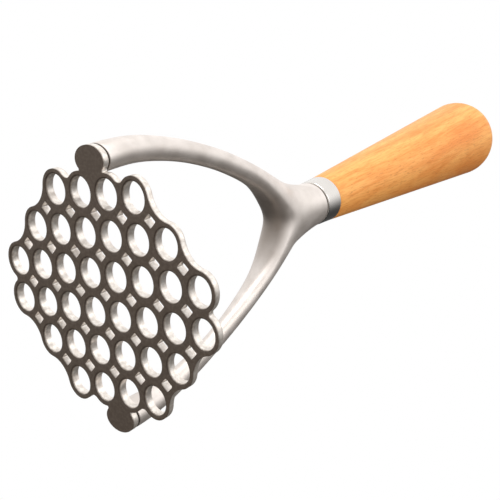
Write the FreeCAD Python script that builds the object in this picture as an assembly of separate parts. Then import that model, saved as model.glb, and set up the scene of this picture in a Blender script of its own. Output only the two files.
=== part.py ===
import FreeCAD, Part
import math
import os

from FreeCAD import Vector

# Potato masher: a cast perforated plate, a cast wishbone yoke and a turned wooden handle.
# All sizes are in millimetres. The origin is the middle of the flat mashing face.
# +Z runs up the handle, the rows of eight holes run along X, and the yoke's arms spread along Y.

# --- mashing plate -------------------------------------------------------------------------
ROW_COUNTS = (4, 6, 8, 8, 6, 4)  # holes in each row, from +Y to -Y
PITCH_X = 10.5                   # hole to hole within a row
PITCH_Y = 12.5                   # row to row
PLATE_THICKNESS = 3.0
HOLE_HALF_WIDTH = 3.95           # half width along X of a hole's straight wall
MOUTH_ROUNDING = 0.65            # radius of the rounding at each hole's mouth
RIM_WALL = 0.7                   # metal left outside the mouths of the outer holes
# Each hollow of the rim lies this far outside the line between the two holes beside it.
ROW_NOTCH_DISTANCE = 3.2         # between two neighbours on the first and last rows
SIDE_NOTCH_DISTANCE = 2.4        # between the ends of the two longest rows
STEP_NOTCH_DISTANCE = 2.97       # where a row is shorter than the one beside it
DIAMOND_HALF_DIAGONAL = 2.36     # the small four-cornered holes between the round ones
DIAMOND_CORNER_RADIUS = 0.45
BACK_EDGE_ROUNDING = 0.9

# --- ears and their joint to the yoke ------------------------------------------------------
EAR_HALF_WIDTH = 5.6             # along X
EAR_HALF_HEIGHT = 4.5            # along Y
EAR_STANDOFF = 5.25              # from the last row of holes out to the ear's inner side
EAR_WEB_HALF_WIDTH = 4.5         # solid web from the ear into the plate
EAR_NOTCH_ROUNDING = 0.4
STUD_RADIUS = 2.0                # pin that joins an ear to its arm
STUD_PLATE_DEPTH = 2.0           # how far the pin reaches into the ear
STUD_ARM_DEPTH = 9.0             # how far it reaches into the arm
STUD_CLEARANCE = 0.02
SEAM_DEPTH = 0.35                # shadow line around the seam between ear and arm
SEAM_HEIGHT = 0.4

# --- yoke ----------------------------------------------------------------------------------
NECK_TOP = 116.0                 # height of the yoke's top above the mashing face
NECK_RADIUS = 8.6
NECK_EDGE_ROUNDING = 0.6
# Each arm from the ear into the shoulder: distance of its centre line from the handle's axis as a
# share of the ear's distance, height above the plate as a share of the yoke's height, half
# thickness along X and half thickness in the plane of the arms, both in millimetres.
ARM_STATIONS = (
    (1.000, 0.000, EAR_HALF_WIDTH, EAR_HALF_HEIGHT),
    (1.002, 0.100, 4.6, 4.3),
    (0.956, 0.221, 3.4, 3.95),
    (0.851, 0.367, 2.9, 3.65),
    (0.705, 0.508, 3.1, 3.65),
    (0.524, 0.639, 4.3, 3.75),
    (0.410, 0.712, 5.0, 3.5),
    (0.320, 0.770, 5.0, 3.0),
)
# Shoulder that joins the arms and runs into the round neck: height as a share of the way from
# the foot of the arch to the neck's top, half width along Y as a share of the way from the neck's
# radius out to the ears, half width along X as a share of the neck's radius.
SHOULDER_STATIONS = (
    (0.000, 0.495, 0.51),
    (0.100, 0.430, 0.57),
    (0.275, 0.309, 0.70),
    (0.470, 0.179, 0.80),
    (0.680, 0.080, 0.88),
    (0.840, 0.025, 0.95),
)
ARCH_RADIUS = 15.5               # rounded top of the gap between the arms
ARCH_TOP_SHARE = 0.761           # its highest point as a share of the yoke's height
ARCH_EDGE_ROUNDING = 2.4
ARCH_ROUNDING_LIMIT = 0.7        # at most this share of the wall's half width at the arch's foot

# --- ferrule and handle --------------------------------------------------------------------
SEAM_WASHER_THICKNESS = 0.6      # thin ring that shows as a dark line above the neck
SEAM_WASHER_RADIUS = 7.9
FERRULE_LENGTH = 8.6
FERRULE_WALL = 0.8
FERRULE_FOOT_RADIUS = 8.8
FERRULE_EDGE_ROUNDING = 0.4
HANDLE_FOOT_RADIUS = 9.15        # wood where it leaves the ferrule
HANDLE_TAPER = 0.0695            # growth of the radius per millimetre of length
HANDLE_WOOD_LENGTH = 152.0       # from the ferrule's top to the rounded end
HANDLE_DOME_LENGTH = 17.5        # the part of that length that is rounded over
DOME_SHOULDER = 0.48             # fullness of the dome near the grip
DOME_FLATNESS = 0.57             # fullness of the dome near its tip
FERRULE_GLUE_GAP = 0.05

# --- tang ----------------------------------------------------------------------------------
TANG_RADIUS = 3.0
TANG_NECK_DEPTH = 16.0           # how far the rod reaches down into the neck
TANG_HANDLE_DEPTH = 62.0         # how far it reaches up into the handle
TANG_CLEARANCE = 0.02
INSERT_RADIUS = 4.6              # threaded bush in the wood, around the rod's upper end
INSERT_LENGTH = 20.0
BORE_TIP_CLEARANCE = 1.0

# --- sizes that follow from the ones above -------------------------------------------------
ROW_STRETCH = PITCH_Y / PITCH_X
LAST_ROW_Y = (len(ROW_COUNTS) - 1) / 2 * PITCH_Y
EAR_CENTRE_Y = LAST_ROW_Y + EAR_STANDOFF + EAR_HALF_HEIGHT
YOKE_HEIGHT = NECK_TOP - PLATE_THICKNESS
ARCH_TOP = PLATE_THICKNESS + ARCH_TOP_SHARE * YOKE_HEIGHT
MOUTH_RADIUS = HOLE_HALF_WIDTH + MOUTH_ROUNDING
RIM_RADIUS = MOUTH_RADIUS + RIM_WALL
FERRULE_FOOT = NECK_TOP + SEAM_WASHER_THICKNESS
FERRULE_TOP = FERRULE_FOOT + FERRULE_LENGTH
HANDLE_TOP = FERRULE_TOP + HANDLE_WOOD_LENGTH


def row_y(row):
    """Height of a row's centre line on the square grid, before the rows are spread to PITCH_Y."""
    return ((len(ROW_COUNTS) - 1) / 2 - row) * PITCH_X


def row_xs(row):
    """X of each hole of a row, from left to right."""
    count = ROW_COUNTS[row]
    return [(n - (count - 1) / 2) * PITCH_X for n in range(count)]


def spread_rows(shape):
    """Stretch a flat shape along Y from the square grid to the real distance between rows."""
    matrix = FreeCAD.Matrix()
    matrix.scale(1.0, ROW_STRETCH, 1.0)
    return shape.transformGeometry(matrix)


def rim_centres():
    """Centres of the outer holes in order around the plate, anticlockwise from the lower right."""
    rows = range(len(ROW_COUNTS))
    right = [(row_xs(row)[-1], row_y(row)) for row in reversed(rows)]
    top = [(x, row_y(0)) for x in reversed(row_xs(0)[1:-1])]
    left = [(row_xs(row)[0], row_y(row)) for row in rows]
    bottom = [(x, row_y(rows[-1])) for x in row_xs(rows[-1])[1:-1]]
    return [Vector(x, y, 0) for x, y in right + top + left + bottom]


def notch_distance(a, b):
    """How far outside the line between two neighbouring outer holes their hollow lies."""
    if abs(a.x - b.x) > 0.5 * PITCH_X and abs(a.y - b.y) > 0.5 * PITCH_X:
        return STEP_NOTCH_DISTANCE
    if abs(a.x - b.x) > 0.5 * PITCH_X:
        return ROW_NOTCH_DISTANCE
    return SIDE_NOTCH_DISTANCE


def notch_circle(a, b):
    """Centre and radius of the hollow's arc, outside the plate and tangent to both rim circles."""
    half = (b - a) * 0.5
    distance = notch_distance(a, b)
    radius = (half.Length ** 2 + distance ** 2 - RIM_RADIUS ** 2) / (2 * (RIM_RADIUS - distance))
    outward = Vector(half.y, -half.x, 0)
    outward.normalize()
    return a + half + outward * (distance + radius), radius


def towards(start, end, distance):
    """Point at a distance from start on the way to end."""
    step = end - start
    step.normalize()
    return start + step * distance


def arc(centre, radius, start, end, bulge):
    """Arc about a centre from start to end whose middle lies on the side of the bulge vector."""
    middle = (start - centre) + (end - centre)
    if middle.Length < 1e-6 or middle.dot(bulge) < 0:
        middle = bulge
    middle = Vector(middle)
    middle.normalize()
    return Part.Arc(start, centre + middle * radius, end).toShape()


def scalloped_outline():
    """Closed wire that follows the outer holes: a rim arc around each and a hollow between two."""
    centres = rim_centres()
    count = len(centres)
    hollows = [notch_circle(centres[n], centres[(n + 1) % count]) for n in range(count)]
    edges = []
    for n, centre in enumerate(centres):
        before, after = hollows[n - 1][0], hollows[n][0]
        start = towards(centre, before, RIM_RADIUS)
        end = towards(centre, after, RIM_RADIUS)
        edges.append(arc(centre, RIM_RADIUS, start, end, Vector(centre)))
        following = centres[(n + 1) % count]
        hollow_end = towards(following, after, RIM_RADIUS)
        inward = (centre + following) * 0.5 - after
        edges.append(arc(after, hollows[n][1], end, hollow_end, inward))
    return Part.Wire(edges)


def oval(half_x, half_y, z=0.0, x=0.0, y=0.0):
    """Closed elliptical wire in a level plane."""
    long_x = half_x >= half_y
    major, minor = (half_x, half_y) if long_x else (half_y, half_x)
    ellipse = Part.Ellipse(Vector(0, 0, 0), major, minor)
    wire = Part.Wire([ellipse.toShape()])
    if not long_x:
        wire.rotate(Vector(0, 0, 0), Vector(0, 0, 1), 90)
    wire.translate(Vector(x, y, z))
    return wire


def rounded_diamond():
    """Square stood on its corner with rounded corners, as a closed wire."""
    r = DIAMOND_CORNER_RADIUS
    inner = DIAMOND_HALF_DIAGONAL - r * math.sqrt(2)
    edges = []
    for turn in range(4):
        angle = math.radians(90 * turn)
        corner = Vector(inner * math.cos(angle), inner * math.sin(angle), 0)
        points = []
        for offset in (-45, 0, 45):
            a = angle + math.radians(offset)
            points.append(corner + Vector(r * math.cos(a), r * math.sin(a), 0))
        if edges:
            edges.append(Part.LineSegment(edges[-1].Vertexes[-1].Point, points[0]).toShape())
        edges.append(Part.Arc(*points).toShape())
    edges.append(Part.LineSegment(edges[-1].Vertexes[-1].Point, edges[0].Vertexes[0].Point).toShape())
    return Part.Wire(edges)


def diamond_places():
    """Middle of every gap between four round holes, and of the corner where a row steps in."""
    places = []
    for row in range(len(ROW_COUNTS) - 1):
        wider = max(ROW_COUNTS[row], ROW_COUNTS[row + 1])
        gaps = wider - 1
        y = (row_y(row) + row_y(row + 1)) / 2 * ROW_STRETCH
        places += [Vector((n - (gaps - 1) / 2) * PITCH_X, y, 0) for n in range(gaps)]
    return places


def ear_blank(side):
    """Oval disc that carries an arm, with the solid web that ties it into the plate."""
    disc = Part.Face(oval(EAR_HALF_WIDTH, EAR_HALF_HEIGHT)).extrude(Vector(0, 0, PLATE_THICKNESS))
    disc.translate(Vector(0, side * EAR_CENTRE_Y, 0))
    inner = row_y(0) * ROW_STRETCH
    length = EAR_CENTRE_Y - inner
    web = Part.makeBox(2 * EAR_WEB_HALF_WIDTH, length, PLATE_THICKNESS)
    web.translate(Vector(-EAR_WEB_HALF_WIDTH, inner if side > 0 else -EAR_CENTRE_Y, 0))
    return disc.fuse(web)


def upright_edges(shape, test):
    """Vertical edges whose foot passes a test."""
    found = []
    for edge in shape.Edges:
        box = edge.BoundBox
        if box.XLength < 1e-4 and box.YLength < 1e-4 and test(edge.Vertexes[0].Point):
            found.append(edge)
    return found


def level_edges(shape, z):
    """Edges that lie in the level plane at height z."""
    return [edge for edge in shape.Edges
            if abs(edge.BoundBox.ZMin - z) < 1e-4 and abs(edge.BoundBox.ZMax - z) < 1e-4]


def make_mashing_plate():
    outline = Part.Wire(spread_rows(scalloped_outline()).Edges)
    plate = Part.Face(outline).extrude(Vector(0, 0, PLATE_THICKNESS))
    for side in (-1, 1):
        plate = plate.fuse(ear_blank(side))
    plate = plate.removeSplitter()

    def at_ear_root(point):
        return abs(point.y) > row_y(0) * ROW_STRETCH + 1 and abs(point.x) < EAR_HALF_WIDTH

    plate = plate.makeFillet(EAR_NOTCH_ROUNDING, upright_edges(plate, at_ear_root))
    plate = plate.makeFillet(BACK_EDGE_ROUNDING, level_edges(plate, PLATE_THICKNESS))
    cuts = []
    for row in range(len(ROW_COUNTS)):
        for x in row_xs(row):
            wire = oval(HOLE_HALF_WIDTH, HOLE_HALF_WIDTH * ROW_STRETCH, 0, x, row_y(row) * ROW_STRETCH)
            cuts.append(Part.Face(wire).extrude(Vector(0, 0, PLATE_THICKNESS)))
    diamond = Part.Face(rounded_diamond()).extrude(Vector(0, 0, PLATE_THICKNESS))
    for place in diamond_places():
        copy = diamond.copy()
        copy.translate(place)
        cuts.append(copy)
    plate = plate.cut(Part.makeCompound(cuts + stud_sockets()))
    mouths = [edge for edge in level_edges(plate, 0.0) if is_hole_mouth(edge)]
    return plate.makeFillet(MOUTH_ROUNDING, mouths)


def is_hole_mouth(edge):
    """True for the closed edge around a round hole."""
    return edge.isClosed() and abs(edge.BoundBox.XLength - 2 * HOLE_HALF_WIDTH) < 0.05


def arm_section(station, ahead, behind):
    """Oval wire square to the arm's path at one station."""
    y, z, half_x, half_depth = station
    direction = Vector(0, ahead[0] - behind[0], ahead[1] - behind[1])
    wire = oval(half_x, half_depth)
    tilt = math.degrees(math.atan2(-direction.y, direction.z))
    wire.rotate(Vector(0, 0, 0), Vector(1, 0, 0), tilt)
    wire.translate(Vector(0, y, z))
    return wire


def make_arm():
    """The arm on the +Y side, lofted from the ear's oval into the shoulder."""
    stations = [(out * EAR_CENTRE_Y, PLATE_THICKNESS + up * YOKE_HEIGHT, half_x, half_depth)
                for out, up, half_x, half_depth in ARM_STATIONS]
    wires = [arm_section(stations[0], (0, 1), (0, 0))]
    for n in range(1, len(stations) - 1):
        wires.append(arm_section(stations[n], stations[n + 1], stations[n - 1]))
    wires.append(arm_section(stations[-1], stations[-1], stations[-2]))
    arm = Part.makeLoft(wires, True, False)
    keep = Part.Face(oval(EAR_HALF_WIDTH - SEAM_DEPTH, EAR_HALF_HEIGHT - SEAM_DEPTH))
    around = Part.Face(oval(2 * EAR_HALF_WIDTH, 2 * EAR_HALF_HEIGHT)).cut(keep)
    ring = around.extrude(Vector(0, 0, SEAM_HEIGHT))
    ring.translate(Vector(0, EAR_CENTRE_Y, PLATE_THICKNESS))
    return arm.cut(ring)


def make_shoulder():
    """Lofted shoulder and neck with the rounded arch cut through it along X."""
    centre_z = ARCH_TOP - ARCH_RADIUS
    reach = EAR_CENTRE_Y - NECK_RADIUS
    wires = [oval(wide * NECK_RADIUS, NECK_RADIUS + out * reach, centre_z + up * (NECK_TOP - centre_z))
             for up, out, wide in SHOULDER_STATIONS]
    wires.append(oval(NECK_RADIUS, NECK_RADIUS, NECK_TOP))
    body = Part.makeLoft(wires, True, False)
    width = 4 * NECK_RADIUS
    arch = Part.makeCylinder(ARCH_RADIUS, width, Vector(-width / 2, 0, centre_z), Vector(1, 0, 0))
    body = body.cut(arch)
    edges = [edge for edge in body.Edges if is_arch_edge(edge)]
    foot_out, foot_wide = SHOULDER_STATIONS[0][1:]
    inside = ARCH_RADIUS / (NECK_RADIUS + foot_out * reach)
    wall = foot_wide * NECK_RADIUS * math.sqrt(1 - inside ** 2)
    body = body.makeFillet(min(ARCH_EDGE_ROUNDING, ARCH_ROUNDING_LIMIT * wall), edges)
    top = level_edges(body, NECK_TOP)
    return body.makeFillet(NECK_EDGE_ROUNDING, top)


def is_arch_edge(edge):
    """True for an edge on the arch's cylinder that rises to its top."""
    box = edge.BoundBox
    return abs(box.ZMax - ARCH_TOP) < 0.5 and box.YLength > ARCH_RADIUS


def make_yoke():
    arm = make_arm()
    yoke = make_shoulder().fuse([arm, arm.mirror(Vector(0, 0, 0), Vector(0, 1, 0))])
    yoke = yoke.removeSplitter()
    bore = TANG_NECK_DEPTH + BORE_TIP_CLEARANCE
    cuts = [Part.makeCylinder(TANG_RADIUS + TANG_CLEARANCE, bore, Vector(0, 0, NECK_TOP - bore))]
    for side in (-1, 1):
        foot = Vector(0, side * EAR_CENTRE_Y, PLATE_THICKNESS)
        depth = STUD_ARM_DEPTH + BORE_TIP_CLEARANCE
        cuts.append(Part.makeCylinder(STUD_RADIUS + STUD_CLEARANCE, depth, foot))
    return yoke.cut(cuts)


def make_plate_studs():
    """The two round pins that join the ears to the arms."""
    bottom = PLATE_THICKNESS - STUD_PLATE_DEPTH
    length = STUD_PLATE_DEPTH + STUD_ARM_DEPTH
    studs = []
    for side in (-1, 1):
        studs.append(Part.makeCylinder(STUD_RADIUS, length, Vector(0, side * EAR_CENTRE_Y, bottom)))
    return Part.makeCompound(studs)


def stud_sockets():
    """Blind sockets in the ears for the pins."""
    bottom = PLATE_THICKNESS - STUD_PLATE_DEPTH
    radius = STUD_RADIUS + STUD_CLEARANCE
    return [Part.makeCylinder(radius, STUD_PLATE_DEPTH, Vector(0, side * EAR_CENTRE_Y, bottom))
            for side in (-1, 1)]


def turned(points, *curves):
    """Solid of revolution about the handle's axis from a half profile of (radius, height) points."""
    edges = []
    for a, b in zip(points, points[1:]):
        edges.append(Part.LineSegment(Vector(a[0], 0, a[1]), Vector(b[0], 0, b[1])).toShape())
    edges += curves
    face = Part.Face(Part.Wire(Part.__sortEdges__(edges)))
    return face.revolve(Vector(0, 0, 0), Vector(0, 0, 1), 360)


def make_seam_washer():
    ring = Part.makeCylinder(SEAM_WASHER_RADIUS, SEAM_WASHER_THICKNESS, Vector(0, 0, NECK_TOP))
    hole = TANG_RADIUS + TANG_CLEARANCE
    return ring.cut(Part.makeCylinder(hole, SEAM_WASHER_THICKNESS, Vector(0, 0, NECK_TOP)))


def make_ferrule():
    """Tapered metal cup around the foot of the handle, with a hole for the tang."""
    hole = TANG_RADIUS + TANG_CLEARANCE
    inside = FERRULE_FOOT_RADIUS - FERRULE_WALL
    floor = FERRULE_FOOT + FERRULE_WALL
    return turned([
        (hole, FERRULE_FOOT),
        (FERRULE_FOOT_RADIUS - FERRULE_EDGE_ROUNDING, FERRULE_FOOT),
        (FERRULE_FOOT_RADIUS, FERRULE_FOOT + FERRULE_EDGE_ROUNDING),
        (HANDLE_FOOT_RADIUS, FERRULE_TOP),
        (inside, FERRULE_TOP),
        (inside, floor),
        (hole, floor),
        (hole, FERRULE_FOOT),
    ])


def handle_radius(z):
    """Radius of the wood at a height between the ferrule and the dome."""
    return HANDLE_FOOT_RADIUS + HANDLE_TAPER * (z - FERRULE_TOP)


def make_handle_grip():
    """Turned wooden grip with a tenon inside the ferrule and a blind bore for the tang."""
    tenon = FERRULE_FOOT_RADIUS - FERRULE_WALL - FERRULE_GLUE_GAP
    foot = FERRULE_FOOT + FERRULE_WALL
    bore = TANG_RADIUS + TANG_CLEARANCE
    bore_top = FERRULE_FOOT + TANG_HANDLE_DEPTH + BORE_TIP_CLEARANCE
    socket = INSERT_RADIUS + TANG_CLEARANCE
    socket_foot = FERRULE_FOOT + TANG_HANDLE_DEPTH - INSERT_LENGTH
    dome_z = HANDLE_TOP - HANDLE_DOME_LENGTH
    dome_r = handle_radius(dome_z)
    dome = Part.BezierCurve()
    dome.setPoles([
        Vector(dome_r, 0, dome_z),
        Vector(dome_r + HANDLE_TAPER * DOME_SHOULDER * HANDLE_DOME_LENGTH, 0,
               dome_z + DOME_SHOULDER * HANDLE_DOME_LENGTH),
        Vector(DOME_FLATNESS * dome_r, 0, HANDLE_TOP),
        Vector(0, 0, HANDLE_TOP),
    ])
    return turned([
        (0, HANDLE_TOP),
        (0, bore_top),
        (socket, bore_top),
        (socket, socket_foot),
        (bore, socket_foot),
        (bore, foot),
        (tenon, foot),
        (tenon, FERRULE_TOP),
        (HANDLE_FOOT_RADIUS, FERRULE_TOP),
        (dome_r, dome_z),
    ], dome.toShape())


def make_tang_rod():
    """Straight rod from the neck into the handle."""
    bottom = NECK_TOP - TANG_NECK_DEPTH
    length = TANG_NECK_DEPTH + SEAM_WASHER_THICKNESS + TANG_HANDLE_DEPTH
    return Part.makeCylinder(TANG_RADIUS, length, Vector(0, 0, bottom))


def make_handle_insert():
    """Bush in the wood that takes the upper end of the rod."""
    foot = FERRULE_FOOT + TANG_HANDLE_DEPTH - INSERT_LENGTH
    bush = Part.makeCylinder(INSERT_RADIUS, INSERT_LENGTH, Vector(0, 0, foot))
    return bush.cut(Part.makeCylinder(TANG_RADIUS + TANG_CLEARANCE, INSERT_LENGTH, Vector(0, 0, foot)))


NODES = {
    "mashing_plate": make_mashing_plate,
    "plate_studs": make_plate_studs,
    "yoke": make_yoke,
    "seam_washer": make_seam_washer,
    "ferrule": make_ferrule,
    "handle_grip": make_handle_grip,
    "tang_rod": make_tang_rod,
    "handle_insert": make_handle_insert,
}

os.makedirs("parts", exist_ok=True)
for node, make in NODES.items():
    shape = make()
    shape.exportStep("parts/" + node + ".step")
    print(node, "valid", shape.isValid(), "solids", len(shape.Solids), "volume", round(shape.Volume, 1))
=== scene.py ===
# %% [markdown]
# # A potato masher, dressed around its CAD frame
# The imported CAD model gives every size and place. This script adds the looks: a smooth cast
# yoke, a turned beech handle and a bright ferrule worked out with numpy, and procedural
# materials for them and for the CAD's own cast plate. Everything is in metres, in the CAD frame:
# the origin is the middle of the flat mashing face and +Z runs up the handle.

# %% Load the frame
import math

import bmesh
import bpy
import numpy as np
from mathutils import Matrix, Vector


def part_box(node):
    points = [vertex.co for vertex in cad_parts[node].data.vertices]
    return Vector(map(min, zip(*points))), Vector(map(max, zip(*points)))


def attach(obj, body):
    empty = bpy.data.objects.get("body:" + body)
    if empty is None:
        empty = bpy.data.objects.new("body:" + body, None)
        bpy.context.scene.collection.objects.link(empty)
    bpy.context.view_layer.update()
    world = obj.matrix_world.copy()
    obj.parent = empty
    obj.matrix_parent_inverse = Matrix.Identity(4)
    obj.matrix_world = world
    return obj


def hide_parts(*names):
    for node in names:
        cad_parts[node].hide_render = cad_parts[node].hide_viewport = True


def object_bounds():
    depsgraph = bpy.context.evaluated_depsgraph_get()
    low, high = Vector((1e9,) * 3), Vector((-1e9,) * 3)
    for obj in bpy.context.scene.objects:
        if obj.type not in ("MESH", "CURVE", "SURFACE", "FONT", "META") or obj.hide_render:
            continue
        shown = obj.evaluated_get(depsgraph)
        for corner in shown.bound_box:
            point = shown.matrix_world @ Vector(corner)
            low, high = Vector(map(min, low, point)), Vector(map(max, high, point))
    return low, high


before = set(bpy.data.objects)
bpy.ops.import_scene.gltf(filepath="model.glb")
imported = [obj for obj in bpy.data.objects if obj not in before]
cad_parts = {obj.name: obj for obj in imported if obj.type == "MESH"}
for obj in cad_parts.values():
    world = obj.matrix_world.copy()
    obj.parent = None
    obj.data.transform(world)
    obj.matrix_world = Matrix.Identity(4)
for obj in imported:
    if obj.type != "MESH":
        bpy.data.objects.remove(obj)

cad_low, cad_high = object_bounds()
print("CAD box", list(cad_low), list(cad_high))

# %% [markdown]
# Driving sizes come from the boxes of the CAD nodes, so the looks follow when the CAD changes.
# The studs are upright pins in the middle of the ears, so their box gives the ears' distance.

# %% Read the sizes
MM = 0.001
PLATE_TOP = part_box("mashing_plate")[1].z
EAR_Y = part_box("plate_studs")[1].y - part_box("plate_studs")[1].x
NECK_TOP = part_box("seam_washer")[0].z
FERRULE_FOOT, FERRULE_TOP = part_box("ferrule")[0].z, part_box("ferrule")[1].z
FERRULE_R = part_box("ferrule")[1].x
HANDLE_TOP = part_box("handle_grip")[1].z
YOKE_HEIGHT = NECK_TOP - PLATE_TOP
print("plate top %.4f, neck top %.4f, handle top %.4f m" % (PLATE_TOP, NECK_TOP, HANDLE_TOP))

# %% [markdown]
# ## Meshes from grids
# Each new piece is a surface over a grid of two parameters. The rows of the grid run along the
# piece and the columns run round it. One helper turns the grid into quads, and another welds the
# grids of one piece where their edges meet, so that no seam or pole is left open.

# %% Grid helpers
def grid_faces(rows, columns, closed, first=0, flip=False):
    """Quads of a grid: corner n of a quad is (row + 0 or 1, column + 0 or 1), wrapping if closed."""
    row = np.arange(rows - 1)[:, None]
    column = np.arange(columns if closed else columns - 1)[None, :]
    beside = (column + 1) % columns
    quad = np.stack([row * columns + column, row * columns + beside,
                     (row + 1) * columns + beside, (row + 1) * columns + column], axis=-1)
    quad = quad.reshape(-1, 4) + first
    return quad[:, ::-1] if flip else quad


def make_piece(name, grids, weld=1e-6):
    """A smooth mesh object from a list of (points, closed, flip) grids, welded where they meet."""
    points, faces, first = [], [], 0
    for grid, closed, flip in grids:
        rows, columns = grid.shape[:2]
        points.append(grid.reshape(-1, 3))
        faces.append(grid_faces(rows, columns, closed, first, flip))
        first += rows * columns
    mesh = bpy.data.meshes.new(name)
    mesh.from_pydata(np.concatenate(points).tolist(), [], np.concatenate(faces).tolist())
    weld_mesh(mesh, weld)
    mesh.shade_smooth()
    piece = bpy.data.objects.new(name, mesh)
    bpy.context.scene.collection.objects.link(piece)
    print(name, len(mesh.polygons), "faces")
    return piece


def weld_mesh(mesh, distance):
    """Merges points that coincide, which also turns the quads at a pole into triangles."""
    work = bmesh.new()
    work.from_mesh(mesh)
    bmesh.ops.remove_doubles(work, verts=work.verts, dist=distance)
    bmesh.ops.recalc_face_normals(work, faces=work.faces)
    work.to_mesh(mesh)
    work.free()

# %% [markdown]
# Two kinds of curve are enough here. A Hermite cubic has a given place and direction at both ends,
# and a row of them makes a smooth line through a few measured sizes. A profile spun about the Z
# axis gives everything that is turned on a lathe.

# %% Curve helpers
def hermite(t, start, leave, end, arrive):
    """Cubic from start to end over t = 0 to 1, with the given slopes at its two ends."""
    return ((2 * t**3 - 3 * t**2 + 1) * start + (t**3 - 2 * t**2 + t) * leave
            + (3 * t**2 - 2 * t**3) * end + (t**3 - t**2) * arrive)


def smooth_through(knots, values, at):
    """Smooth curve through the values: on each span a Hermite cubic whose end slopes come from the
    neighbouring knots' differences. Works on whole arrays."""
    slopes = np.gradient(values, knots)
    span = np.clip(np.searchsorted(knots, at, side="right") - 1, 0, len(knots) - 2)
    width = knots[span + 1] - knots[span]
    t = (at - knots[span]) / width
    return hermite(t, values[span], width * slopes[span], values[span + 1], width * slopes[span + 1])


def lathe(radius, height, columns=128):
    """Surface of revolution about Z: the point (r, z) of the profile turned through every angle."""
    angle = np.linspace(0, 2 * np.pi, columns, endpoint=False)[None, :]
    radius, height = np.asarray(radius)[:, None], np.asarray(height)[:, None]
    return np.stack([radius * np.cos(angle), radius * np.sin(angle), height + 0 * angle], axis=-1)

# %% [markdown]
# ## The yoke
# The real yoke is one casting: two oval arms that bend over, join in a rounded crotch and run
# into a round neck. It could be tubes joined by a boolean, but a boolean leaves a crease where
# the casting is smooth. Here it is one skin over a coarse cage. Each arm is an oval carried along a
# curve and the neck is a stack of ovals. Between them every point of the arm's top ring runs to a
# point of the neck's lowest ring, or to the saddle line of the crotch. The Subdivision Surface
# modifier then rounds the cage, so no crease is left where the three meet.

# %% Yoke sizes
# An arm's height is given as a share of the yoke's height, its distance from the middle as a share
# of the ear's distance, and its half widths in mm.
ROUND = 16                                    # points round an arm in the cage
LIMIT = (2 + math.cos(2 * math.pi / ROUND)) / 3   # a subdivided ring shrinks to this share
ARM_KNOTS = np.array([0.0, 0.050, 0.100, 0.160, 0.221, 0.294, 0.367, 0.437, 0.508, 0.575, 0.640])
ARM_OUT = np.array([1.0, 1.003, 1.002, 0.987, 0.956, 0.910, 0.851, 0.783, 0.705, 0.618, 0.524])
ARM_WIDE = np.array([5.6, 5.2, 4.6, 3.95, 3.4, 3.05, 2.95, 3.05, 3.3, 3.75, 4.3]) * MM
ARM_DEEP = np.array([4.5, 4.45, 4.35, 4.15, 3.95, 3.78, 3.65, 3.62, 3.65, 3.7, 3.75]) * MM
NECK_RADIUS = 8.6 * MM
CROTCH_TOP = PLATE_TOP + 0.765 * YOKE_HEIGHT  # lowest point of the metal between the arms
CROTCH_DEPTH = 8.0 * MM                       # how far the crotch rounds up to its front and back
WAIST_Z = CROTCH_TOP + CROTCH_DEPTH
WAIST_OUT = 12.9 * MM                         # half width of the shoulder there, along Y
WAIST_WIDE = 7.2 * MM                         # and along X
WAIST_CURVE, WAIST_CURVE_WIDE = 1.7, 1.2      # powers by which the neck widens down to the waist
GROOVE_DEPTH, GROOVE_HEIGHT = 0.42 * MM, 0.75 * MM   # shadow line round the foot of each arm
FOOT_RINGS = np.array([0.0, 0.08, 0.3, 0.6, 1.0, 2.2]) * MM   # close rings that hold the groove
ARM_RINGS, NECK_RINGS, CROTCH_RINGS = 13, 6, 5
LIP_DROP = np.array([1.2, 0.5, 0.12, 0.0, 0.0]) * MM          # rounded lip at the neck's top
LIP_INSET = np.array([0.0, 0.0, 0.08, 0.5, 4.0]) * MM
print("crotch at %.4f m, waist at %.4f m" % (CROTCH_TOP, WAIST_Z))

# %% [markdown]
# The neck widens downwards to the waist, slowly at first, which is a power curve. An arm leaves its
# ear straight up, so its rings lie flat there and then turn square to the path.

# %% Neck and arm surfaces
def neck_sizes(z):
    """Half widths along Y and X: the neck's radius plus a power of the depth below its top."""
    depth = np.clip((NECK_TOP - z) / (NECK_TOP - WAIST_Z), 0, 1)
    return (NECK_RADIUS + (WAIST_OUT - NECK_RADIUS) * depth**WAIST_CURVE,
            NECK_RADIUS + (WAIST_WIDE - NECK_RADIUS) * depth**WAIST_CURVE_WIDE)


def neck_grid(turn):
    """Ovals (wide sin t, out cos t, z) from the waist to the top, then the rounded lip and its cap."""
    z = np.concatenate([np.linspace(WAIST_Z, NECK_TOP - LIP_DROP[0], NECK_RINGS), NECK_TOP - LIP_DROP[1:]])
    inset = np.concatenate([np.zeros(NECK_RINGS), LIP_INSET[1:]])
    out, wide = neck_sizes(z)
    out, wide = ((out - inset) / LIMIT)[:, None], ((wide - inset) / LIMIT)[:, None]
    rings = np.stack([wide * np.sin(turn), out * np.cos(turn), z[:, None] + 0 * turn], axis=-1)
    middle = np.broadcast_to([0.0, 0.0, NECK_TOP], (1, ROUND, 3))
    return np.concatenate([rings, middle])


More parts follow.
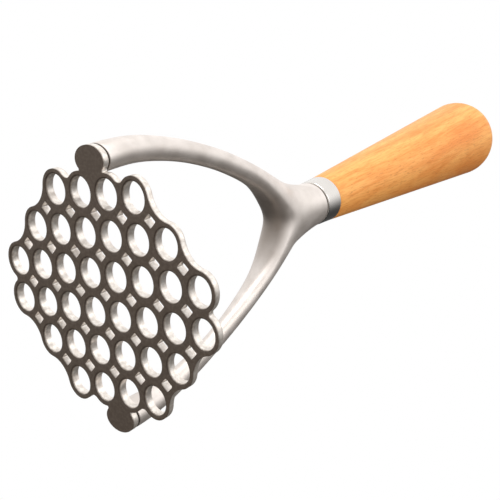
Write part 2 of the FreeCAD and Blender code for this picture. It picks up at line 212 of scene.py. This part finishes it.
def arm_grid(turn):
    """Ovals square to the path: middle + wide sin t along X + deep cos t along the outward normal.
    A shallow groove runs round the foot, where the arm meets the ear."""
    top, step = ARM_KNOTS[-1], 0.004
    foot = FOOT_RINGS / YOKE_HEIGHT
    rise = np.concatenate([foot, np.linspace(ARM_KNOTS[1], top, ARM_RINGS)])
    ahead, behind = np.clip(rise + step, 0, top), np.clip(rise - step, 0, top)
    y, y_ahead, y_behind = (smooth_through(ARM_KNOTS, ARM_OUT, at) * EAR_Y for at in (rise, ahead, behind))
    dy, dz = y_ahead - y_behind, (ahead - behind) * YOKE_HEIGHT
    dy = np.where(rise < foot[-1] + step, 0.0, dy)
    length = np.hypot(dy, dz)
    dy, dz = (dy / length)[:, None], (dz / length)[:, None]
    groove = GROOVE_DEPTH * np.clip(1 - rise * YOKE_HEIGHT / GROOVE_HEIGHT, 0, 1) ** 2
    wide = ((smooth_through(ARM_KNOTS, ARM_WIDE, rise) - groove) / LIMIT)[:, None]
    deep = ((smooth_through(ARM_KNOTS, ARM_DEEP, rise) - groove) / LIMIT)[:, None]
    z = PLATE_TOP + rise[:, None] * YOKE_HEIGHT
    rings = np.stack([wide * np.sin(turn), y[:, None] + deep * np.cos(turn) * dz,
                      z - deep * np.cos(turn) * dy], axis=-1)
    middle = np.broadcast_to([0.0, EAR_Y, PLATE_TOP], (1, ROUND, 3))
    return np.concatenate([middle, rings])

# %% [markdown]
# The crotch is where a tube would fork. The inner half of each arm's ring meets the other arm in
# the plane between them, along a saddle line that is deepest in the middle. The outer half runs on
# into the neck. Both arms use the same function, and the second one is its mirror image.

# %% The crotch
def unit(vectors):
    """Vectors of length one."""
    return vectors / np.linalg.norm(vectors, axis=-1, keepdims=True)


def crotch_grid(turn, ring, below):
    """Cubic Hermite curves from the arm's top ring to the waist: the outer half of the ring ends on
    the waist's oval and the inner half on the saddle line x = wide sin t in the plane y = 0, which
    is half an ellipse that is deepest in the middle. The end direction turns from straight up at
    the outside to straight across at the inside."""
    side, off = np.sin(turn), np.cos(turn)
    outer = off > 1e-9
    end = np.stack([WAIST_WIDE * side / LIMIT, np.where(outer, WAIST_OUT * off / LIMIT, 0.0),
                    np.where(outer, WAIST_Z, WAIST_Z - CROTCH_DEPTH * np.abs(off))], axis=-1)
    angle = np.arccos(np.clip(off, -1, 1)) / 2
    lean = (WAIST_OUT - NECK_RADIUS) * WAIST_CURVE / (NECK_TOP - WAIST_Z)
    arrive = np.stack([0 * turn, -np.sin(angle) - lean * np.cos(angle) * np.clip(off, 0, 1),
                       np.cos(angle)], axis=-1)
    chord = np.linalg.norm(end - ring, axis=-1, keepdims=True)
    leave, arrive = unit(ring - below) * chord, unit(arrive) * chord
    t = np.linspace(0, 1, CROTCH_RINGS)[:, None, None]
    return hermite(t, ring, leave, end, arrive)


def make_yoke():
    """Two arms, two halves of the crotch and the neck, welded into one rounded skin."""
    turn = np.linspace(0, 2 * np.pi, ROUND, endpoint=False)
    arm = arm_grid(turn)
    crotch = crotch_grid(turn, arm[-1], arm[-2])
    mirror = np.array([1.0, -1.0, 1.0])
    skin = make_piece("yoke_skin", [
        (arm, True, False), (arm * mirror, True, True),
        (crotch, True, False), (crotch * mirror, True, True),
        (neck_grid(turn), True, False)])
    rounding = skin.modifiers.new("rounding", "SUBSURF")
    rounding.levels = rounding.render_levels = 3
    return skin


yoke = make_yoke()
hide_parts("yoke")
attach(yoke, "root")

# %% [markdown]
# ## The ferrule
# A thin metal cup holds the foot of the handle. It is turned, so it is a profile spun about Z:
# a rounded lower edge, a slight flare upwards and a rolled upper lip that holds the wood.

# %% Ferrule
FERRULE_FOOT_R = 8.8 * MM
FERRULE_ROLL = 0.45 * MM
FERRULE_BORE = 3.1 * MM
FERRULE_LIP = 0.3 * MM


def make_ferrule():
    """Profile: bore, floor, quarter-round foot, straight flare, half-round lip, inside wall."""
    quarter = np.linspace(-np.pi / 2, 0, 12)
    half = np.linspace(0, np.pi, 16)
    foot_r = FERRULE_FOOT_R - FERRULE_ROLL + FERRULE_ROLL * np.cos(quarter)
    foot_z = FERRULE_FOOT + FERRULE_ROLL + FERRULE_ROLL * np.sin(quarter)
    wall = np.linspace(0, 1, 24)[1:-1]
    wall_r = FERRULE_FOOT_R + (FERRULE_R - FERRULE_FOOT_R) * wall
    wall_z = foot_z[-1] + (FERRULE_TOP - FERRULE_LIP - foot_z[-1]) * wall
    lip_r = FERRULE_R - FERRULE_LIP + FERRULE_LIP * np.cos(half)
    lip_z = FERRULE_TOP - FERRULE_LIP + FERRULE_LIP * np.sin(half)
    inner = FERRULE_R - 2 * FERRULE_LIP
    radius = np.concatenate([[FERRULE_BORE], foot_r, wall_r, lip_r, [inner, FERRULE_BORE, FERRULE_BORE]])
    floor = FERRULE_FOOT + FERRULE_LIP
    height = np.concatenate([[FERRULE_FOOT], foot_z, wall_z, lip_z, [floor, floor, FERRULE_FOOT]])
    return make_piece("ferrule_cup", [(lathe(radius, height), True, False)])


ferrule = make_ferrule()
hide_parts("ferrule")
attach(ferrule, "root")

# %% [markdown]
# ## The handle
# The handle is turned from one billet of beech: a straight taper that is thickest near the top and
# a full dome. The outline is a line and one cubic Bezier curve, spun about Z. Its foot steps in to
# a short tenon inside the ferrule.

# %% Handle
HANDLE_TAPER = 0.0695        # radius gained per length
DOME_LENGTH = 17.5 * MM
DOME_SHOULDER = 0.48         # the Bezier's first handle, as a share of the dome's length
DOME_FLATNESS = 0.57         # its second handle, as a share of the radius
TENON_STEP = 0.7 * MM        # the wood is this much thinner inside the ferrule
EASED_EDGE = 0.15 * MM       # tiny chamfer where it comes out


def make_handle():
    """Profile: centre of the foot, radius = foot radius + taper times height, then the Bezier dome."""
    dome_z = HANDLE_TOP - DOME_LENGTH
    z = np.linspace(FERRULE_TOP + EASED_EDGE, dome_z, 90)
    r = FERRULE_R + HANDLE_TAPER * (z - FERRULE_TOP)
    t = np.linspace(0, 1, 60)[1:]
    shoulder = DOME_SHOULDER * DOME_LENGTH
    poles = np.array([(r[-1], dome_z), (r[-1] + HANDLE_TAPER * shoulder, dome_z + shoulder),
                      (DOME_FLATNESS * r[-1], HANDLE_TOP), (0.0, HANDLE_TOP)])
    weights = np.stack([(1 - t)**3, 3 * t * (1 - t)**2, 3 * t**2 * (1 - t), t**3], axis=-1)
    dome = weights @ poles
    tenon_r, tenon_z = FERRULE_R - TENON_STEP, FERRULE_TOP - TENON_STEP
    radius = np.concatenate([[0.0, tenon_r, tenon_r, FERRULE_R - EASED_EDGE], r, dome[:, 0]])
    height = np.concatenate([[tenon_z, tenon_z, FERRULE_TOP, FERRULE_TOP], z, dome[:, 1]])
    return make_piece("handle_wood", [(lathe(radius, height, 160), True, False)])


handle = make_handle()
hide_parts("handle_grip")
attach(handle, "root")

# %% [markdown]
# ## Shader maths as expressions
# A material's pattern is arithmetic on coordinates. `Wire` wraps a socket, and Python's operators
# on it add Math nodes, so a mask reads as a formula. Every other node comes from `Graph.node`, and
# `Shader` is the graph of one material.

# %% Wires and shaders
class Wire:
    """One output socket. Arithmetic on it adds Math nodes to its graph."""

    def __init__(self, graph, socket):
        self.graph, self.socket = graph, socket

    def math(self, operation, *values):
        return self.graph.node("ShaderNodeMath", {"operation": operation}, dict(enumerate(values)))

    def __add__(self, other):
        return self.math("ADD", self, other)

    def __radd__(self, other):
        return self.math("ADD", other, self)

    def __sub__(self, other):
        return self.math("SUBTRACT", self, other)

    def __rsub__(self, other):
        return self.math("SUBTRACT", other, self)

    def __mul__(self, other):
        return self.math("MULTIPLY", self, other)

    def __rmul__(self, other):
        return self.math("MULTIPLY", other, self)


class Graph:
    """A node tree that hands its sockets out as wires."""

    def __init__(self, tree):
        self.tree = tree

    def node(self, kind, settings, inputs, output=0):
        """Adds a node: its settings first, then the values or links of its sockets."""
        made = self.tree.nodes.new(kind)
        for key, value in settings.items():
            setattr(made, key, value)
        for key, value in inputs.items():
            self.plug(made.inputs[key], value)
        return Wire(self, made.outputs[output])

    def plug(self, socket, value):
        if isinstance(value, Wire):
            self.tree.links.new(value.socket, socket)
        else:
            socket.default_value = value

    def axes(self, vector):
        """The three parts of a vector as wires."""
        parts = self.node("ShaderNodeSeparateXYZ", {}, {0: vector})
        outputs = parts.socket.node.outputs
        return [Wire(self, outputs[n]) for n in range(3)]

    def vector(self, x, y, z):
        return self.node("ShaderNodeCombineXYZ", {}, {0: x, 1: y, 2: z})

    def stretched(self, vector, scale):
        """The vector times a scale for each axis."""
        return self.node("ShaderNodeVectorMath", {"operation": "MULTIPLY"}, {0: vector, 1: scale})

    def noise(self, vector, scale, detail=3.0, roughness=0.5):
        return self.node("ShaderNodeTexNoise", {}, {
            "Vector": vector, "Scale": scale, "Detail": detail, "Roughness": roughness}, "Fac")

    def ramp(self, value, low, high, to_low=0.0, to_high=1.0):
        """Smooth step of a value from low..high to to_low..to_high."""
        return self.node("ShaderNodeMapRange", {"interpolation_type": "SMOOTHSTEP"}, {
            "Value": value, "From Min": low, "From Max": high, "To Min": to_low, "To Max": to_high})

    def mix(self, factor, first, second):
        """Mix of two colours, first at factor 0 and second at factor 1."""
        return self.node("ShaderNodeMix", {"data_type": "RGBA"}, {0: factor, 6: first, 7: second}, 2)


class Shader(Graph):
    """A new material with one Principled BSDF."""

    def __init__(self, name, **constants):
        self.material = bpy.data.materials.new(name)
        self.material.use_nodes = True
        super().__init__(self.material.node_tree)
        self.bsdf = next(n for n in self.tree.nodes if n.type == "BSDF_PRINCIPLED")
        self.feed(**constants)

    def feed(self, **inputs):
        """Sets or links sockets of the BSDF; an underscore stands for a space in the name."""
        for key, value in inputs.items():
            self.plug(self.bsdf.inputs[key.replace("_", " ")], value)
        return self

    def place(self):
        """Object coordinates, in metres in the CAD frame, as one vector."""
        return self.node("ShaderNodeTexCoord", {}, {}, "Object")

    def bump(self, height, distance, strength=0.5):
        """Feeds the normal from a height pattern: distance is in metres for a height of one."""
        normal = self.node("ShaderNodeBump", {}, {
            "Strength": strength, "Distance": distance, "Height": height})
        return self.feed(Normal=normal)


def colour(red, green, blue):
    """An sRGB colour given in 0 to 255, as the linear values that sockets take."""
    parts = [c / 255 for c in (red, green, blue)]
    return tuple(c / 12.92 if c <= 0.04045 else ((c + 0.055) / 1.055) ** 2.4 for c in parts) + (1.0,)


def dress(thing, shader):
    """Gives an object one material."""
    thing.data.materials.clear()
    thing.data.materials.append(shader.material)
    print(thing.name, "wears", shader.material.name)

# %% [markdown]
# ## Cast plate
# The flat mashing face is dark and even: painted shade, a shaded copy of the metal, for a face that
# turns away from the light. Each hole's rounded mouth and walls, and the outside rim, are the lit,
# bright copy. Height above the face tells them apart, so the mask is a smooth step on Z, with a dark
# line where each mouth begins. Fine noise gives the cast skin, and a larger one mottles the walls.

# %% Plate material
def plate_material():
    shader = Shader("cast_plate_metal")
    place = shader.place()
    z = shader.axes(place)[2]
    cloud = shader.noise(place, 900.0, 4.0)
    grit = shader.noise(place, 5200.0, 2.0)
    wall = shader.ramp(z + (cloud - 0.5) * (0.25 * MM), 0.02 * MM, 0.85 * MM)
    mottle = shader.ramp(cloud, 0.35, 0.7)
    # bright is the metal's lit copy, for the hole walls and rim; dark is the same metal with painted
    # shade, for the flat face.
    bright = shader.mix(mottle, colour(222, 213, 204), colour(246, 240, 233))
    dark = shader.mix(mottle, colour(106, 93, 82), colour(118, 105, 94))
    mouth = shader.ramp(z, 0.0, 0.06 * MM) - shader.ramp(z, 0.1 * MM, 0.3 * MM)
    shader.feed(Base_Color=shader.mix(mouth * 0.6, shader.mix(wall, dark, bright), colour(58, 47, 39)),
                Metallic=shader.ramp(z, 0.03 * MM, 0.5 * MM, 0.35, 0.7),
                Roughness=shader.ramp(z, 0.03 * MM, 0.6 * MM, 0.55, 0.36) + (grit - 0.5) * 0.12)
    return shader.bump(cloud * 0.7 + grit * 0.3, 0.025 * MM)


dress(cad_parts["mashing_plate"], plate_material())

# %% [markdown]
# ## Satin yoke
# The yoke is tumbled until it is satin: warm light grey with a soft, broad highlight, very fine
# grit and faint cloudiness. Its colour also holds painted shade: a dark band in the foot groove, and
# a darker tone wherever the surface faces down, strongest inside the crotch.

# %% Yoke material
def yoke_material():
    shader = Shader("satin_yoke_metal", Metallic=0.75)
    place = shader.place()
    z = shader.axes(place)[2]
    facing_up = shader.axes(shader.node("ShaderNodeTexCoord", {}, {}, "Normal"))[2]
    cloud = shader.noise(place, 160.0, 4.0)
    grit = shader.noise(place, 4200.0, 2.0)
    # Painted shade in the foot groove: a dark (70, 60, 52) band just above the plate.
    groove = shader.ramp(z, PLATE_TOP + 0.1 * MM, PLATE_TOP + 0.6 * MM)
    skin = shader.mix(shader.ramp(cloud, 0.3, 0.7), colour(221, 212, 205), colour(235, 227, 221))
    # Painted shade: the colour darkens towards (116, 103, 92) as the surface turns to face down, most
    # inside the crotch.
    skin = shader.mix(shader.ramp(facing_up, -1.0, -0.4, 0.75, 0.0), skin, colour(116, 103, 92))
    shader.feed(Base_Color=shader.mix(groove, colour(70, 60, 52), skin),
                Roughness=shader.ramp(cloud, 0.3, 0.7, 0.42, 0.5) + (grit - 0.5) * 0.1)
    return shader.bump(cloud * 0.6 + grit * 0.4, 0.03 * MM)


dress(yoke, yoke_material())

# %% [markdown]
# ## Beech handle
# Beech is pale orange-yellow with a fine, straight grain. Four patterns are laid on top of each
# other: broad growth bands along the handle, warmer patches, fine streaks, and the short dark
# flecks that mark beech. All of them are noise on coordinates that are squeezed along Z, so they
# run lengthwise. A thin satin lacquer is the shader's coat.

# %% Wood material
def wood_material():
    shader = Shader("lacquered_beech", Coat_Weight=0.08, Coat_Roughness=0.3, Coat_IOR=1.5,
                    Specular_IOR_Level=0.3)
    place = shader.place()
    x, y, z = shader.axes(place)
    sway = shader.noise(shader.stretched(place, (1.0, 1.0, 0.35)), 22.0, 2.0)
    across = x * 0.8 + y * 0.6 + (sway - 0.5) * 0.012
    bands = shader.noise(shader.vector(across, y * 0.12, z * 0.05), 420.0, 3.0, 0.6)
    streaks = shader.noise(shader.vector(x, y, z * 0.04), 1700.0, 4.0, 0.65)
    flecks = shader.noise(shader.vector(x + across * 0.1, y, z * 0.13), 2300.0, 1.0, 0.4)
    patches = shader.noise(shader.stretched(place, (1.0, 1.0, 0.4)), 60.0, 3.0)
    fleck = shader.ramp(flecks, 0.62, 0.72)
    base = shader.mix(shader.ramp(bands, 0.3, 0.72), colour(238, 150, 70), colour(252, 184, 102))
    base = shader.mix(shader.ramp(patches, 0.5, 0.75, 0.0, 0.5), base, colour(230, 132, 54))
    base = shader.mix(shader.ramp(streaks, 0.42, 0.72, 0.0, 0.55), base, colour(212, 122, 48))
    base = shader.mix(fleck * 0.4, base, colour(176, 92, 34))
    shader.feed(Base_Color=base,
                Roughness=shader.ramp(streaks, 0.3, 0.7, 0.42, 0.52) - fleck * 0.05)
    return shader.bump(1.0 - fleck * 0.5 - streaks * 0.3, 0.05 * MM)


dress(handle, wood_material())

# %% [markdown]
# ## Ferrule, washer and the hidden metal
# The ferrule is polished on the lathe, which leaves fine rings: noise squeezed round the axis, so it
# only changes with height. The washer is dark fibre. The studs, rod and insert are inside the other
# pieces, and still get their own turned steel and brass.

# %% Small materials
def ferrule_material():
    shader = Shader("polished_ferrule", Metallic=1.0)
    place = shader.place()
    z = shader.axes(place)[2]
    rings = shader.noise(shader.vector(0.0, 0.0, z), 9000.0, 3.0)
    cloud = shader.noise(place, 240.0, 3.0)
    shader.feed(Base_Color=shader.mix(cloud, colour(228, 223, 217), colour(242, 238, 233)),
                Roughness=0.16 + rings * 0.1 + (cloud - 0.5) * 0.06)
    return shader.bump(rings, 0.012 * MM)


def washer_material():
    shader = Shader("dark_fibre", Metallic=0.0)
    cloud = shader.noise(shader.place(), 3000.0, 3.0)
    shader.feed(Base_Color=shader.mix(cloud, colour(34, 29, 26), colour(62, 54, 48)),
                Roughness=0.6 + cloud * 0.2)
    return shader.bump(cloud, 0.04 * MM)


def turned_metal(name, dark, light):
    """Plain turned bar: faint rings that change only with height."""
    shader = Shader(name, Metallic=1.0)
    rings = shader.noise(shader.vector(0.0, 0.0, shader.axes(shader.place())[2]), 4000.0, 2.0)
    shader.feed(Base_Color=shader.mix(rings, dark, light), Roughness=0.25 + rings * 0.15)
    return shader.bump(rings, 0.02 * MM)


dress(ferrule, ferrule_material())
dress(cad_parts["seam_washer"], washer_material())
steel = turned_metal("turned_steel", colour(150, 150, 150), colour(190, 190, 190))
dress(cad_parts["plate_studs"], steel)
dress(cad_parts["tang_rod"], steel)
brass = turned_metal("turned_brass", colour(176, 138, 66), colour(214, 178, 98))
dress(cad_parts["handle_insert"], brass)

# %% [markdown]
# ## Studio
# The masher floats in a pale studio, far above a plain pale floor. The camera looks up at the
# mashing face from below and to one side, with the handle running away to the upper right.

# %% Camera
CAMERA_AT = Vector((0.1886, -0.0881, -0.1800))
LOOKS_ALONG = Vector((-0.5712, 0.2865, 0.7692))
UPWARDS = Vector((-0.1128, -0.9556, 0.2722))


def make_camera():
    """A long lens at CAMERA_AT. Returns the directions across and up its view."""
    data = bpy.data.cameras.new("camera")
    data.sensor_width = 36.0
    data.lens = 65.41
    data.shift_x, data.shift_y = 0.001, -0.0028
    data.clip_start, data.clip_end = 0.01, 30.0
    camera = bpy.data.objects.new("camera", data)
    right = LOOKS_ALONG.cross(UPWARDS).normalized()
    up = right.cross(LOOKS_ALONG).normalized()
    turned = Matrix((right, up, -LOOKS_ALONG.normalized())).transposed()
    camera.matrix_world = Matrix.Translation(CAMERA_AT) @ turned.to_4x4()
    bpy.context.scene.collection.objects.link(camera)
    bpy.context.scene.camera = camera
    return right, up


camera_right, camera_up = make_camera()
print("camera", list(CAMERA_AT))

# %% [markdown]
# A plain floor lies far below, so it lights the underside a little and stays out of sight.

# %% Floor
def make_floor(height=-0.9, half=0.6):
    """A flat grid of one quad, far below the object."""
    corner = np.array([-half, half])
    x, y = np.meshgrid(corner, corner, indexing="ij")
    floor = make_piece("floor", [(np.stack([x, y, 0 * x + height], axis=-1), False, False)])
    shader = Shader("pale_floor")
    cloud = shader.noise(shader.place(), 3.0)
    shader.feed(Base_Color=shader.mix(cloud, colour(204, 202, 199), colour(212, 210, 208)), Roughness=0.8)
    dress(floor, shader)


make_floor()

# %% [markdown]
# Three soft lamps stand round the camera: a key above it, one at its side, and a warm fill below.
# The fill stays out of reflections, so it lifts the wood and leaves the metal's dark bands alone.

# %% Lights
def soft_light(name, across, up, back, size, power, tint=(1.0, 1.0, 1.0), in_gloss=True):
    """A square lamp placed in the camera's own directions and aimed at the object's middle."""
    middle = (cad_low + cad_high) / 2
    at = middle + camera_right * across + camera_up * up - LOOKS_ALONG.normalized() * back
    data = bpy.data.lights.new(name, "AREA")
    data.size, data.energy, data.color = size, power, tint
    lamp = bpy.data.objects.new(name, data)
    aim = (middle - at).to_track_quat("-Z", "Y").to_matrix().to_4x4()
    lamp.matrix_world = Matrix.Translation(at) @ aim
    lamp.visible_glossy = in_gloss
    bpy.context.scene.collection.objects.link(lamp)
    print("lamp", name, power, "W")


soft_light("key", 0.1, 0.8, 0.3, 0.6, 3.6)
soft_light("side", 0.9, 0.3, 0.3, 0.5, 1.5)
soft_light("fill", 0.5, -0.8, 0.3, 0.6, 2.5, (1.0, 0.88, 0.72), in_gloss=False)

# %% [markdown]
# The surroundings are white where the camera sees them. In light and reflections they fall off
# smoothly towards one side, like the unlit end of a studio, which gives the metal its dark bands.

# %% World
DIM_SIDE = (0.05, 0.97, -0.1)
FALL_FROM, FALL_TO = -0.3, 0.5        # share of the way to the dim side, -1 to 1
BRIGHT, DIM = 1.0, 0.05


def make_world():
    """Strength = the larger of "seen by the camera" and a smooth step on direction . dim side."""
    world = bpy.data.worlds.new("studio")
    world.use_nodes = True
    graph = Graph(world.node_tree)
    direction = graph.node("ShaderNodeTexCoord", {}, {}, "Generated")
    facing = graph.node("ShaderNodeVectorMath", {"operation": "DOT_PRODUCT"},
                        {0: direction, 1: DIM_SIDE}, "Value")
    fall = graph.ramp(facing, FALL_FROM, FALL_TO, BRIGHT, DIM)
    seen = graph.node("ShaderNodeLightPath", {}, {}, "Is Camera Ray")
    background = world.node_tree.nodes["Background"]
    graph.plug(background.inputs["Color"], (1.0, 1.0, 1.0, 1.0))
    graph.plug(background.inputs["Strength"],
               graph.node("ShaderNodeMath", {"operation": "MAXIMUM"}, {0: fall, 1: seen}))
    bpy.context.scene.world = world


make_world()
bpy.context.scene.view_settings.view_transform = "Standard"
print("world falls from", BRIGHT, "to", DIM)
